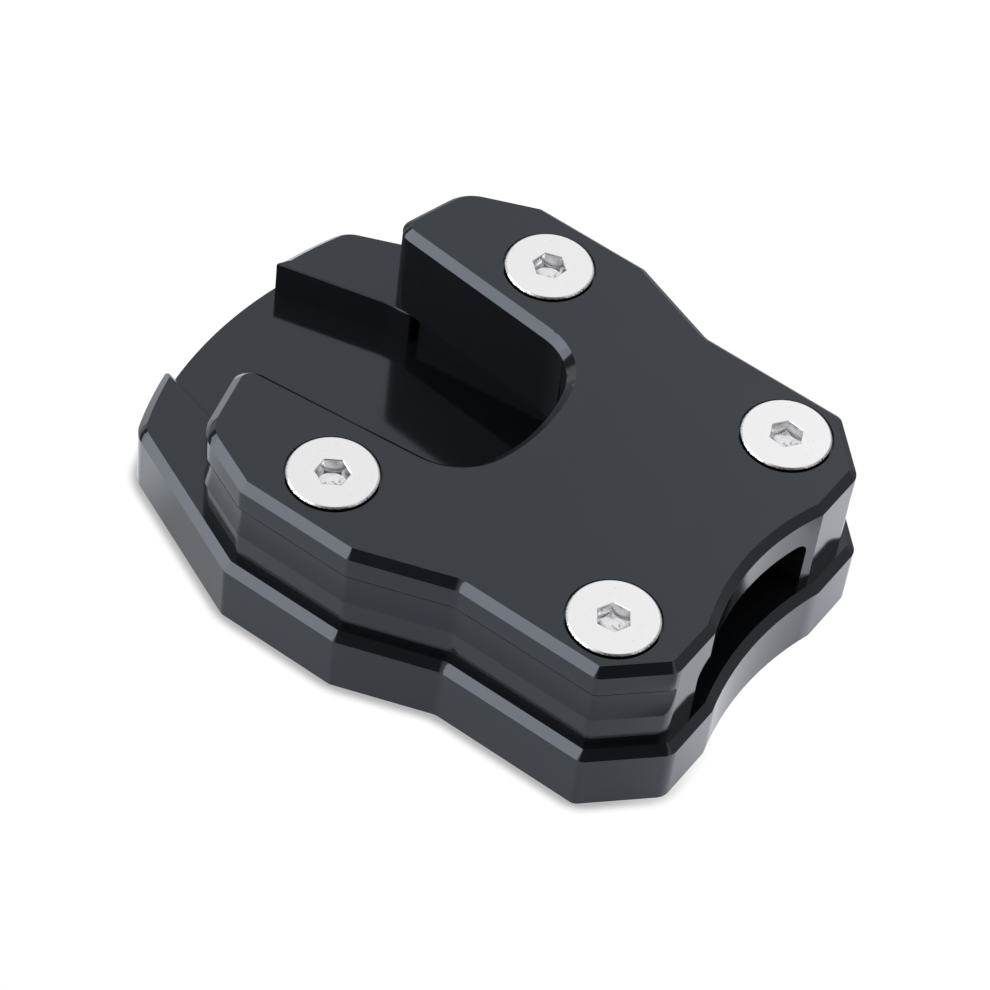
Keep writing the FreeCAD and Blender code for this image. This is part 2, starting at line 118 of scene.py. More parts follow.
class Graph:
    """A node tree that is written as expressions."""

    def __init__(self, tree: bpy.types.NodeTree) -> None:
        """Empty the tree and keep it."""
        tree.nodes.clear()
        self.tree = tree

    def node(self, kind: str, settings: dict, inputs: dict, output: Union[int, str] = 0) -> Signal:
        """Add a node of any kind.

        Args:
            kind: the node's type.
            settings: values of the node's own properties, set first.
            inputs: values or signals, by socket name or number.
            output: name or number of the output to return.

        Returns:
            The chosen output.
        """
        made = self.tree.nodes.new(kind)
        for name, setting in settings.items():
            setattr(made, name, setting)
        for name, given in inputs.items():
            if isinstance(given, Signal):
                self.tree.links.new(given.socket, made.inputs[name])
            else:
                made.inputs[name].default_value = given
        return Signal(self, made.outputs[output] if made.outputs else None)

    def place(self, centre: Sequence[float] = (0.0, 0.0, 0.0)) -> Signal:
        """Find the place on the object.

        Args:
            centre: where the place is counted from.

        Returns:
            The place in metres.
        """
        origin = [-one for one in centre]
        spot = self.node("ShaderNodeTexCoord", {}, {}, "Object")
        return self.node("ShaderNodeMapping", {}, {"Vector": spot, "Location": origin})

    def along(self, place: Signal, axis: str) -> Signal:
        """Return one coordinate of a place, by its letter."""
        return self.node("ShaderNodeSeparateXYZ", {}, {0: place}, axis)

    def from_axis(self, place: Signal) -> Signal:
        """Measure how far a place lies from the upright axis.

        Args:
            place: the place.

        Returns:
            The distance.
        """
        sideways = {0: place, 1: (1.0, 1.0, 0.0)}
        flat = self.node("ShaderNodeVectorMath", {"operation": "MULTIPLY"}, sideways)
        return self.node("ShaderNodeVectorMath", {"operation": "LENGTH"}, {0: flat}, "Value")

    def noise(self, place: Signal, size: float, detail: float) -> Signal:
        """Return a level from 0 to 1 in blots of a size in metres, with finer layers on them."""
        inputs = {"Vector": place, "Scale": 1.0 / size, "Detail": detail}
        return self.node("ShaderNodeTexNoise", {}, inputs)

    def wave(self, phase: Signal) -> Signal:
        """Return the sine of a phase in radians."""
        return self.node("ShaderNodeMath", {"operation": "SINE"}, {0: phase})

    def blend(self, factor: Value, first: tuple, second: tuple) -> Signal:
        """Return a mix of two colours, with as much of the second as the factor says."""
        inputs = {0: factor, 6: first, 7: second}
        return self.node("ShaderNodeMix", {"data_type": "RGBA"}, inputs, 2)

    def relief(self, height: Value, distance: float, strength: float = 1.0,
               under: Union[Signal, None] = None) -> Signal:
        """Make a bumpy surface.

        Args:
            height: the height of the bumps, as a share of the distance.
            distance: what a height of 1 stands for, in metres.
            strength: how much the bumps count.
            under: another relief that this one lies on.

        Returns:
            The surface's normal.
        """
        inputs = {"Height": height, "Distance": distance, "Strength": strength}
        if under is not None:
            inputs["Normal"] = under
        return self.node("ShaderNodeBump", {}, inputs)

    def window(self, value: Value, low: float, high: float) -> Signal:
        """Open smoothly from one value to another.

        Args:
            value: the value that is looked at.
            low: where the result leaves 0.
            high: where the result reaches 1.

        Returns:
            A level from 0 to 1.
        """
        settings = {"interpolation_type": "SMOOTHSTEP"}
        inputs = {"Value": value, "From Min": low, "From Max": high}
        return self.node("ShaderNodeMapRange", settings, inputs)

    def surface(self, shader: Signal) -> None:
        """Send a shader to the material's output."""
        self.node("ShaderNodeOutputMaterial", {}, {"Surface": shader})


def rgb(red: float, green: float, blue: float) -> tuple:
    """Return a linear colour with full alpha."""
    return (red, green, blue, 1.0)


WHITE = rgb(1.0, 1.0, 1.0)


def new_material(name: str) -> bpy.types.Material:
    """Add a material that uses nodes.

    Args:
        name: the material's name.

    Returns:
        The material.
    """
    made = bpy.data.materials.new(name)
    made.use_nodes = True
    return made


@dataclass(frozen=True)
class AnodisedFinish:
    """Fine-blasted and black anodised aluminium with a satin gloss."""

    name: str = "black_anodised"
    dye: tuple = rgb(0.0040, 0.0045, 0.0056)
    pale_dye: tuple = rgb(0.0072, 0.0080, 0.0098)
    tint: tuple = rgb(0.775, 0.86, 1.0)
    refraction: float = 1.56
    gloss: float = 0.085
    uneven_gloss: float = 0.03
    grain_size: float = 0.13 * MM
    grain_detail: float = 3.0
    grain_depth: float = 0.0012 * MM
    grain_strength: float = 0.6
    speckle_span: tuple = (0.35, 0.75)
    speckle_share: float = 0.3
    cloud_size: float = 8.0 * MM
    cloud_detail: float = 4.0
    cloud_share: float = 0.7
    lip_level: float = GROOVE_HIGH
    lip_round: float = 0.17 * MM
    lip_depth: float = 0.07 * MM
    lip_fade: float = 4.0 * MM
    lip_side_span: tuple = (20.3 * MM, 20.4 * MM)

    def material(self) -> bpy.types.Material:
        """Make the material.

        Returns:
            A material with blast grain, cloudy dye, a slightly uneven gloss and a softened lip.
        """
        made = new_material(self.name)
        graph = Graph(made.node_tree)
        place = graph.place()
        grain = graph.noise(place, self.grain_size, self.grain_detail)
        cloud = graph.noise(place, self.cloud_size, self.cloud_detail)
        speckle = graph.window(grain, *self.speckle_span)
        dyed = cloud * self.cloud_share + speckle * self.speckle_share
        colour = graph.blend(dyed, self.dye, self.pale_dye)
        unevenness = self.uneven_gloss * (cloud - NOISE_MIDDLE)
        roughness = self.gloss + self.uneven_gloss * speckle + unevenness
        height = graph.along(place, "Z")
        across = graph.along(place, "Y")
        aside = graph.node("ShaderNodeMath", {"operation": "ABSOLUTE"}, {0: across})
        on_side = graph.window(aside, *self.lip_side_span)
        lip_top = self.lip_level + self.lip_round
        lip = graph.window(height, self.lip_level, lip_top) * on_side
        below_top = 1.0 - graph.window(height, lip_top, self.lip_level + self.lip_fade)
        rounded = graph.relief(lip * below_top, self.lip_depth)
        shader = graph.node("ShaderNodeBsdfPrincipled", {}, {
            "Base Color": colour,
            "Roughness": roughness,
            "IOR": self.refraction,
            "Specular Tint": self.tint,
            "Normal": graph.relief(grain, self.grain_depth, self.grain_strength, rounded),
        })
        graph.surface(shader)
        return made


@dataclass(frozen=True)
class TurnedSteelFinish:
    """Bright steel: turning rings on the face, a ragged rim darkened by painted shade, a painted
    shade line at the face's edge and a broached socket.
    """

    centre: tuple
    name: str
    steel: tuple = rgb(0.79, 0.79, 0.80)
    # Dark colour for real marks and for painted shade alike.
    soot_and_shade: tuple = rgb(0.05, 0.05, 0.055)
    gloss: float = 0.30
    socket_gloss: float = 0.20
    uneven_gloss: float = 0.06
    fine_size: float = 0.20 * MM
    fine_detail: float = 3.0
    coarse_size: float = 0.70 * MM
    coarse_detail: float = 2.0
    face_span: tuple = (0.0, 0.03 * MM)
    sunk_span: tuple = (0.05 * MM, 0.16 * MM)
    outer_span: tuple = (2.6 * MM, 2.8 * MM)
    ring_pitch: float = 0.26 * MM
    ring_wander: float = 6.0
    ring_soot: float = 0.04
    ring_height: float = 0.10
    edge_line_span: tuple = (5.69 * MM, 5.74 * MM)
    edge_line_painted_shade: float = 0.16
    # Painted shade: the rim is darkened below a ragged depth.
    ragged_reach: float = 0.90 * MM
    ragged_span: tuple = (0.59 * MM, 0.69 * MM)
    ragged_painted_shade: float = 0.95
    ragged_height: float = 1.6
    chatter_pitch: float = 0.55 * MM
    chatter_wander: float = 5.0
    chatter_height: float = 0.12
    score_span: tuple = (0.70, 0.96)
    score_gaps: tuple = (0.38, 0.55)
    score_soot: float = 0.10
    fleck_span: tuple = (0.63, 0.70)
    fleck_soot: float = 0.25
    mouth_span: tuple = (0.16 * MM, 0.34 * MM)
    mouth_gaps: tuple = (0.35, 0.60)
    mouth_soot: float = 0.3
    pip_span: tuple = (2.65 * MM, 2.95 * MM)
    pip_gaps: tuple = (0.52, 0.60)
    pip_soot: float = 0.5
    dust_span: tuple = (0.66, 0.80)
    dust_soot: float = 0.10
    relief_depth: float = 0.014 * MM
    relief_strength: float = 0.5

    def material(self) -> bpy.types.Material:
        """Make the material.

        Returns:
            A metal whose zones are told apart by depth below the face and distance from the axis.
        """
        made = new_material(self.name)
        graph = Graph(made.node_tree)
        place = graph.place(self.centre)
        depth = graph.along(place, "Z") * -1.0
        radius = graph.from_axis(place)
        fine = graph.noise(place, self.fine_size, self.fine_detail)
        coarse = graph.noise(place, self.coarse_size, self.coarse_detail)
        sunk = graph.window(depth, *self.sunk_span)
        outer = graph.window(radius, *self.outer_span)
        in_socket = sunk * (1.0 - outer)
        on_face = 1.0 - graph.window(depth, *self.face_span)

        turns = radius * (2.0 * math.pi / self.ring_pitch)
        rings = graph.wave(turns + coarse * self.ring_wander)
        # Painted shade: a thin dark line round the face's edge, standing in for the shade of a
        # small step.
        painted_edge_line = graph.window(radius, *self.edge_line_span) * on_face
        # Painted shade: the rim turns nearly black below a ragged depth, standing in for the gap's
        # shadow and dark reflection.
        painted_rim_shade = graph.window(depth + fine * self.ragged_reach, *self.ragged_span)
        strokes = depth * (2.0 * math.pi / self.chatter_pitch)
        chatter = graph.wave(strokes + coarse * self.chatter_wander)
        scores = graph.window(chatter, *self.score_span) * graph.window(fine, *self.score_gaps)
        flecks = graph.window(coarse, *self.fleck_span)
        upper = 1.0 - graph.window(depth, *self.mouth_span)
        mouth = in_socket * upper * graph.window(fine, *self.mouth_gaps)
        pip = graph.window(depth, *self.pip_span) * graph.window(coarse, *self.pip_gaps)
        dust = graph.window(fine, *self.dust_span)
        sunken = scores * self.score_soot + flecks * self.fleck_soot + pip * self.pip_soot
        # The dark mix holds real marks (scores, flecks, pips, dust, rings) and painted shade (the
        # rim and the face's edge line).
        soot_and_shade = (in_socket * sunken
                + mouth * self.mouth_soot
                + outer * painted_rim_shade * self.ragged_painted_shade
                + painted_edge_line * self.edge_line_painted_shade
                + on_face * (dust * self.dust_soot + self.ring_soot * rings))
        colour = graph.blend(soot_and_shade, self.steel, self.soot_and_shade)
        roughness = (self.gloss
                     + (self.socket_gloss - self.gloss) * in_socket
                     + self.uneven_gloss * (fine - NOISE_MIDDLE))
        height = (rings * on_face * self.ring_height
                  + fine * outer * (1.0 - on_face) * self.ragged_height
                  + chatter * in_socket * self.chatter_height)
        shader = graph.node("ShaderNodeBsdfPrincipled", {}, {
            "Base Color": colour,
            "Metallic": 1.0,
            "Roughness": roughness,
            "Normal": graph.relief(height, self.relief_depth, self.relief_strength),
        })
        graph.surface(shader)
        return made


@dataclass(frozen=True)
class PaleFloorFinish:
    """A white table top with a painted soft shadow, that looks pale in reflections with painted
    pools of light.
    """

    name: str = "pale_floor"
    paper: tuple = rgb(0.90, 0.90, 0.90)
    cool: tuple = rgb(0.975, 1.0, 1.05)
    dark: tuple = rgb(0.0, 0.0, 0.0)
    open_floor: float = 1.02
    painted_shadow_dip: float = 0.56
    contact_reach: float = 2.2 * MM
    contact_samples: int = 16
    contact_span: tuple = (0.50, 0.97)
    mirror_share: float = 0.45
    near_mirror: float = 0.85
    ahead_slope: float = 0.4
    front_mirror: float = 0.78
    front_span: tuple = (-14.0 * MM, 12.0 * MM)
    front_along: tuple = (0.0, 20.0 * MM)
    far_mirror: float = 0.14
    far_span: tuple = (12.0 * MM, 55.0 * MM)
    left_mirror: float = 0.60
    left_heading: tuple = (-0.6, 0.8)
    left_span: tuple = (-4.0 * MM, 5.0 * MM)
    left_across: tuple = (15.0 * MM, 45.0 * MM)
    outer_mirror: float = 0.33
    outer_across: tuple = (36.0 * MM, 46.0 * MM)
    outer_along: tuple = (57.0 * MM, 66.0 * MM)

    def _mirror_level(self, graph: Graph, place: Signal, ahead: Signal) -> Signal:
        """Paint how bright the floor looks in gloss: painted pools of light to the front and the
        left, painted shade beyond.

        Args:
            graph: the floor's graph.
            place: the place on the floor.
            ahead: the distance towards the front and the far side.

        Returns:
            The level.
        """
        along, across = graph.along(place, "X"), graph.along(place, "Y")
        left = along * self.left_heading[0] + across * self.left_heading[1]
        front = (self.front_mirror * graph.window(ahead, *self.front_span)
                 + self.far_mirror * graph.window(ahead, *self.far_span))
        beside = self.left_mirror * graph.window(left, *self.left_span)
        # Painted pools of light in the floor's reflection, placed by position.
        painted_pools = (self.near_mirror
                 + front * graph.window(along, *self.front_along)
                 + beside * (1.0 - graph.window(across, *self.left_across)))
        near_side = 1.0 - graph.window(across, *self.outer_across)
        near_end = 1.0 - graph.window(along, *self.outer_along)
        return self.outer_mirror + near_side * near_end * (painted_pools - self.outer_mirror)

    def material(self) -> bpy.types.Material:
        """Make the material.

        Returns:
            A floor that reads as white with a narrow painted contact shadow to the camera, as a
            table with painted pools of light to gloss, and as matt paper to all other light.
        """
        made = new_material(self.name)
        graph = Graph(made.node_tree)
        place = graph.place()
        ahead = graph.along(place, "X") * self.ahead_slope + graph.along(place, "Y")
        nearness = graph.node("ShaderNodeAmbientOcclusion", {"samples": self.contact_samples},
                              {"Distance": self.contact_reach}, "AO")
        closed_in = 1.0 - graph.window(nearness, *self.contact_span)
        # Painted shadow: an occlusion mask, cut off towards the front, dims the floor's glow to the
        # camera.
        painted_shadow = closed_in * (1.0 - graph.window(ahead, *self.front_span))
        glow = self.open_floor - self.painted_shadow_dip * painted_shadow
        seen = graph.node("ShaderNodeEmission", {}, {"Strength": glow})
        # Painted reflection: the floor's brightness in gloss is scaled by a level set by position.
        level = self._mirror_level(graph, place, ahead) * self.mirror_share
        tone = graph.blend(level, self.dark, self.cool)
        shaded = graph.node("ShaderNodeBsdfDiffuse", {}, {"Color": tone})
        steady = graph.node("ShaderNodeEmission", {}, {"Color": self.cool, "Strength": level})
        mirrored = graph.node("ShaderNodeAddShader", {}, {0: shaded, 1: steady})
        matt = graph.node("ShaderNodeBsdfDiffuse", {}, {"Color": self.paper})
        camera = graph.node("ShaderNodeLightPath", {}, {}, "Is Camera Ray")
        gloss = graph.node("ShaderNodeLightPath", {}, {}, "Is Glossy Ray")
        lit = graph.node("ShaderNodeMixShader", {}, {0: camera, 1: matt, 2: seen})
        shader = graph.node("ShaderNodeMixShader", {}, {0: gloss, 1: lit, 2: mirrored})
        graph.surface(shader)
        return made


def choose_only(piece: bpy.types.Object) -> None:
    """Make one object the only selected and the active one.

    Args:
        piece: the object.
    """
    bpy.ops.object.select_all(action="DESELECT")
    piece.select_set(True)
    bpy.context.view_layer.objects.active = piece


def link_piece(name: str, mesh: bpy.types.Mesh) -> bpy.types.Object:
    """Add an object at the origin and choose it.

    Args:
        name: the object's name.
        mesh: its mesh.

    Returns:
        The object.
    """
    piece = bpy.data.objects.new(name, mesh)
    bpy.context.scene.collection.objects.link(piece)
    choose_only(piece)
    return piece


def apply_modifier(piece: bpy.types.Object, kind: str, **settings: object) -> None:
    """Add a modifier to a piece and apply it.

    Args:
        piece: the piece to shape.
        kind: the modifier's type.
        settings: the modifier's properties.
    """
    choose_only(piece)
    added = piece.modifiers.new(kind.lower(), kind)
    for name, setting in settings.items():
        setattr(added, name, setting)
    bpy.ops.object.modifier_apply(modifier=added.name)


def pick_edges(piece: bpy.types.Object, wanted: Callable[[Vector, Vector], bool],
               narrow: bool = False) -> None:
    """Select the edges whose two ends pass a test, in edge mode.

    Args:
        piece: the piece, in edit mode.
        wanted: a test of an edge's two ends.
        narrow: whether only edges that are selected already may stay selected.
    """
    bpy.ops.mesh.select_mode(type="EDGE")
    bpy.ops.object.mode_set(mode="OBJECT")
    allowed = [edge.select or not narrow for edge in piece.data.edges]
    bpy.ops.object.mode_set(mode="EDIT")
    bpy.ops.mesh.select_all(action="DESELECT")
    bpy.ops.object.mode_set(mode="OBJECT")
    points = piece.data.vertices
    for edge, may in zip(piece.data.edges, allowed):
        edge.select = may and wanted(points[edge.vertices[0]].co, points[edge.vertices[1]].co)
    bpy.ops.object.mode_set(mode="EDIT")


def drawn_line(name: str, points: Sequence[Vector]) -> bpy.types.Object:
    """Draw an open line of edges, from one point to the next.

    Args:
        name: the object's name.
        points: the points.

    Returns:
        The line as a mesh object, in edit mode.
    """
    piece = link_piece(name, bpy.data.meshes.new(name))
    bpy.ops.object.mode_set(mode="EDIT")
    bpy.ops.mesh.select_mode(type="VERT")
    bpy.ops.mesh.primitive_plane_add(size=MM, location=points[0])
    bpy.ops.mesh.merge(type="CENTER")
    for start, end in zip(points, points[1:]):
        bpy.ops.mesh.extrude_vertices_move(TRANSFORM_OT_translate={"value": end - start})
    return piece


def prism(name: str, outline: Sequence[tuple], low: float, high: float) -> bpy.types.Object:
    """Raise a closed outline from one height to another.

    Args:
        name: the object's name.
        outline: the corners, each an X and a Y.
        low: the height of the bottom.
        high: the height of the top.

    Returns:
        The prism.
    """
    piece = drawn_line(name, [Vector((x, y, low)) for x, y in outline])
    bpy.ops.mesh.select_all(action="SELECT")
    bpy.ops.mesh.edge_face_add()
    bpy.ops.mesh.extrude_region_move(TRANSFORM_OT_translate={"value": (0.0, 0.0, high - low)})
    bpy.ops.mesh.select_all(action="SELECT")
    bpy.ops.mesh.normals_make_consistent(inside=False)
    bpy.ops.object.mode_set(mode="OBJECT")
    return piece


def turned(name: str, outline: Sequence[tuple], steps: int) -> bpy.types.Object:
    """Turn an outline about the upright axis.

    Args:
        name: the object's name.
        outline: the points, each a distance from the axis and a height.
        steps: how many steps make the turn.

    Returns:
        The turned shape with its faces pointing outwards.
    """
    piece = drawn_line(name, [Vector((radius, 0.0, height)) for radius, height in outline])
    bpy.ops.object.mode_set(mode="OBJECT")
    apply_modifier(piece, "SCREW", axis="Z", angle=2.0 * math.pi, steps=steps, render_steps=steps,
                   use_merge_vertices=True, merge_threshold=WELD)
    bpy.ops.object.mode_set(mode="EDIT")
    bpy.ops.mesh.select_all(action="SELECT")
    bpy.ops.mesh.remove_doubles(threshold=WELD)
    bpy.ops.mesh.normals_make_consistent(inside=False)
    bpy.ops.object.mode_set(mode="OBJECT")
    return piece


def combine(piece: bpy.types.Object, tool: bpy.types.Object, operation: str) -> None:
    """Join a tool to a piece or cut it away, as the operation says, and remove the tool."""
    apply_modifier(piece, "BOOLEAN", operation=operation, solver="EXACT", object=tool)
    bpy.data.objects.remove(tool)


@dataclass
class MachinedPlate:
    """One machined plate with its sharp edges broken, in place of its node."""

    plate: Plate
    edge_break: float = 0.06 * MM
    edge_steps: int = 2
    sharp_angle: float = 28.0
    smooth_angle: float = 15.0
    weld: float = 0.0008 * MM
    flat_angle: float = 0.2
    margin: float = 0.02 * MM
    upright_share: float = 0.8
    side_from_middle: float = 19.5 * MM
    groove_low: float = GROOVE_LOW
    groove_high: float = GROOVE_HIGH
    seat: float = 10.4 * MM
    pocket_floor: float = 4.9 * MM
    rim_foot: float = 4.5 * MM
    rim_round: float = 0.28 * MM
    rim_steps: int = 7
    rim_front: tuple = (
        (-44.10 * MM, 11.55 * MM),
        (-28.30 * MM, 15.58 * MM),
        (-26.00 * MM, 15.80 * MM),
        (-24.90 * MM, 15.86 * MM),
        (-24.30 * MM, 15.98 * MM),
        (-24.00 * MM, 16.30 * MM),
    )
    rim_back: tuple = (
        (-24.00 * MM, 18.20 * MM),
        (-28.30 * MM, 17.95 * MM),
        (-42.62 * MM, 13.90 * MM),
        (-43.30 * MM, 12.95 * MM),
    )

    def _merge_flats(self, piece: bpy.types.Object) -> None:
        """Weld the mesh and merge the triangles of each flat face.

        Args:
            piece: the piece to clean.
        """
        choose_only(piece)
        bpy.ops.object.mode_set(mode="EDIT")
        bpy.ops.mesh.select_all(action="SELECT")
        bpy.ops.mesh.remove_doubles(threshold=self.weld)
        bpy.ops.mesh.dissolve_limited(angle_limit=math.radians(self.flat_angle))
        bpy.ops.mesh.normals_make_consistent(inside=False)
        bpy.ops.object.mode_set(mode="OBJECT")

    def _copy_of_node(self) -> bpy.types.Object:
        """Copy the plate's node.

        Returns:
            A new piece with a welded copy of the node's mesh.
        """
        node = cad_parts[self.plate.value]
        piece = link_piece(self.plate.value + "_machined", node.data.copy())
        bpy.ops.mesh.customdata_custom_splitnormals_clear()
        self._merge_flats(piece)
        return piece

    def _pocket_rim(self) -> bpy.types.Object:
        """Model the thin rim that stands along the base's pocket.

        Returns:
            The rim, with the upper edge of its front rounded.
        """
        front = [Vector(corner) for corner in self.rim_front]

        def on_front(first: Vector, second: Vector) -> bool:
            """Tell whether an edge is the upper edge of the front."""
            off = [min((end.xy - corner).length for corner in front) for end in (first, second)]
            return max(off) < self.weld and min(first.z, second.z) > self.seat - self.weld

        rim = prism("pocket_rim", self.rim_front + self.rim_back, self.rim_foot, self.seat)
        bpy.ops.object.mode_set(mode="EDIT")
        pick_edges(rim, on_front)
        bpy.ops.mesh.bevel(offset=self.rim_round, segments=self.rim_steps, clamp_overlap=True)
        bpy.ops.object.mode_set(mode="OBJECT")
        return rim

    def _upright(self, first: Vector, second: Vector) -> bool:
        """Tell whether an edge stands on the outer side, where walls meet at a wide angle."""
        steep = abs(first.z - second.z) > self.upright_share * (first - second).length
        return steep and abs(first.y) > self.side_from_middle

    def _break_edges(self, piece: bpy.types.Object) -> None:
        """Break the sharp edges, apart from the sides' uprights, the groove and the pocket's foot.

        Args:
            piece: the plate.
        """

        def to_break(first: Vector, second: Vector) -> bool:
            """Tell whether an edge is broken.

            Args:
                first: one end of the edge.
                second: its other end.

            Returns:
                Whether it is broken.
            """
            low, high = sorted((first.z, second.z))
            above_low_lip = low > self.groove_low - self.margin
            below_high_lip = high < self.groove_high + self.margin
            on_side = abs(first.y) > self.side_from_middle
            in_groove = above_low_lip and below_high_lip and on_side
            off_floor = max(abs(low - self.pocket_floor), abs(high - self.pocket_floor))
            at_foot = off_floor < self.margin
            return not (self._upright(first, second) or in_groove or at_foot)

        choose_only(piece)
        bpy.ops.object.mode_set(mode="EDIT")
        bpy.ops.mesh.select_mode(type="EDGE")
        bpy.ops.mesh.select_all(action="DESELECT")
        bpy.ops.mesh.edges_select_sharp(sharpness=math.radians(self.sharp_angle))
        pick_edges(piece, to_break, narrow=True)
        bpy.ops.mesh.bevel(offset=self.edge_break, segments=self.edge_steps, clamp_overlap=True)
        bpy.ops.mesh.select_all(action="SELECT")
        bpy.ops.mesh.dissolve_degenerate(threshold=self.weld)
        bpy.ops.object.mode_set(mode="OBJECT")

    def _keep_lips_crisp(self, piece: bpy.types.Object) -> None:
        """Mark the two lips of the groove as sharp.

        Args:
            piece: the plate with the groove.
        """

        def on_lip(first: Vector, second: Vector) -> bool:
            """Tell whether an edge runs along a lip of the groove.

            Args:
                first: one end of the edge.
                second: its other end.

            Returns:
                Whether it does.
            """
            level = abs(first.z - second.z) < self.margin
            off_lip = min(abs(first.z - self.groove_low), abs(first.z - self.groove_high))
            return level and off_lip < self.margin and abs(first.y) > self.side_from_middle

        bpy.ops.object.mode_set(mode="EDIT")
        pick_edges(piece, on_lip)
        bpy.ops.mesh.mark_sharp()
        bpy.ops.object.mode_set(mode="OBJECT")

    def build(self, material: bpy.types.Material) -> bpy.types.Object:
        """Build the plate.

        Args:
            material: the plate's finish.

        Returns:
            The finished piece.
        """
        piece = self._copy_of_node()
        if self.plate is Plate.BASE:
            combine(piece, self._pocket_rim(), "UNION")
            self._merge_flats(piece)
        self._break_edges(piece)
        choose_only(piece)
        bpy.ops.object.shade_smooth_by_angle(angle=math.radians(self.smooth_angle))
        if self.plate is Plate.CLAMP:
            self._keep_lips_crisp(piece)
        apply_modifier(piece, "WEIGHTED_NORMAL", keep_sharp=True)
        piece.data.materials.clear()
        piece.data.materials.append(material)
        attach(piece, "root")
        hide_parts(self.plate.value)
        LOG.info("%s: %d faces", piece.name, len(piece.data.polygons))
        return piece


@dataclass
class SocketScrew:
    """A countersunk socket screw, with the middle of its face at the origin until it is placed."""

    facets: int = 96
    head_radius: float = 6.0 * MM
    rim: float = 0.7 * MM
    rim_chamfer: float = 0.22 * MM
    length: float = 25.0 * MM
    neck_radius: float = 2.66 * MM
    neck: float = 1.3 * MM
    crest_radius: float = 2.96 * MM
    root_radius: float = 2.42 * MM
    tip_radius: float = 2.1 * MM
    pitch: float = 1.0 * MM
    ridge_foot: float = 0.25
    ridge_crest: tuple = (0.69, 0.81)
    socket_sides: int = 6
    socket_turn: float = 30.0
    socket_width: float = 4.0 * MM
    socket_depth: float = 2.5 * MM
    socket_chamfer: float = 0.10 * MM
    drill_share: float = 0.49
    drill_start: float = 0.8
    drill_slope: float = math.tan(math.radians(31.0))
    mouth_inner: float = 0.45
    mouth_outer: float = 0.7
    face_margin: float = 0.001 * MM
    smooth_angle: float = 28.0
    flat_angle: float = 0.2
    model: bpy.types.Object = field(init=False)

    def __post_init__(self) -> None:
        """Model the screw once."""
        self.model = turned("screw_model", self._profile(), self.facets)
        self._socket()
        choose_only(self.model)
        bpy.ops.object.shade_smooth_by_angle(angle=math.radians(self.smooth_angle))

    def _profile(self) -> list:
        """Draw half the screw's section: face, chamfered rim, cone, neck, thread ridges and tip.

        Returns:
            The points, each a distance from the axis and a height.
        """
        cone_end = -(self.rim + self.head_radius - self.neck_radius)
        top = cone_end - self.neck
        outline = [
            (0.0, 0.0),
            (self.head_radius - self.rim_chamfer, 0.0),
            (self.head_radius, -self.rim_chamfer),
            (self.head_radius, -self.rim),
            (self.neck_radius, cone_end),
            (self.neck_radius, top),
        ]
        ridges = int((self.length + top) / self.pitch) - 1
        for ridge in range(ridges):
            level = top - ridge * self.pitch
            outline.append((self.root_radius, level - self.ridge_foot * self.pitch))
            for share in self.ridge_crest:
                outline.append((self.crest_radius, level - share * self.pitch))
        outline += [
            (self.root_radius, top - (ridges + self.ridge_foot) * self.pitch),
            (self.root_radius, self.root_radius - self.tip_radius - self.length),
            (self.tip_radius, -self.length),
            (0.0, -self.length),
        ]
        return outline

    def _socket(self) -> None:
        """Sink the six-sided socket and the point of its drill, and break the socket's edge."""
        cutter = link_piece("socket_cutter", bpy.data.meshes.new("socket_cutter"))
        bpy.ops.object.mode_set(mode="EDIT")
        bpy.ops.mesh.primitive_cylinder_add(
            vertices=self.socket_sides, radius=self.socket_width / math.sqrt(3.0),
            depth=2.0 * self.socket_depth, location=(0.0, 0.0, 0.0),
            rotation=(0.0, 0.0, math.radians(self.socket_turn)))
        bpy.ops.object.mode_set(mode="OBJECT")
        combine(self.model, cutter, "DIFFERENCE")
        drill = self.drill_share * self.socket_width
        start = -self.drill_start * self.socket_depth
        point = turned("drill_point", [
            (0.0, start),
            (drill, start),
            (drill, -self.socket_depth),
            (0.0, -self.socket_depth - drill * self.drill_slope),
        ], self.facets)
        combine(self.model, point, "DIFFERENCE")
        choose_only(self.model)
        bpy.ops.object.mode_set(mode="EDIT")
        bpy.ops.mesh.select_all(action="SELECT")
        bpy.ops.mesh.dissolve_limited(angle_limit=math.radians(self.flat_angle))

        def on_mouth(first: Vector, second: Vector) -> bool:
            """Tell whether an edge lies on the socket's mouth.

            Args:
                first: one end of the edge.
                second: its other end.

            Returns:
                Whether it does.
            """
            level = max(abs(first.z), abs(second.z)) < self.face_margin
            near = max(first.length, second.length) < self.mouth_outer * self.socket_width
            off_axis = ((first + second) / 2).length > self.mouth_inner * self.socket_width
            return level and near and off_axis

        pick_edges(self.model, on_mouth)
        bpy.ops.mesh.bevel(offset=self.socket_chamfer, segments=1)
        bpy.ops.object.mode_set(mode="OBJECT")

    def place(self, corner: Corner) -> bpy.types.Object:
        """Put a copy of the screw where its node is.

        Args:
            corner: the screw to stand for.

        Returns:
            The finished piece, with a finish of its own.
        """
        node, turn = corner.value
        low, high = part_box(node)
        middle = (low + high) / 2
        piece = link_piece(node + "_turned", self.model.data.copy())
        piece.rotation_euler = (0.0, 0.0, math.radians(turn))
        piece.location = (middle.x, middle.y, high.z)
        bpy.ops.object.transform_apply(location=True, rotation=True, scale=True)
        steel = TurnedSteelFinish(centre=(middle.x, middle.y, high.z), name=node + "_steel")
        piece.data.materials.clear()
        piece.data.materials.append(steel.material())
        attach(piece, "root")
        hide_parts(node)
        LOG.info("%s: %d faces", piece.name, len(piece.data.polygons))
        return piece

    def clear(self) -> None:
        """Remove the model that the screws were copied from."""
        bpy.data.objects.remove(self.model)


@dataclass(frozen=True)
class Region:
    """A region of the surroundings that is darker or brighter than the rest.

    The core and the rim are cosines of the angle from its middle: the level is reached at the core.
    """

    towards: tuple
    level: float
    core: float
    rim: float


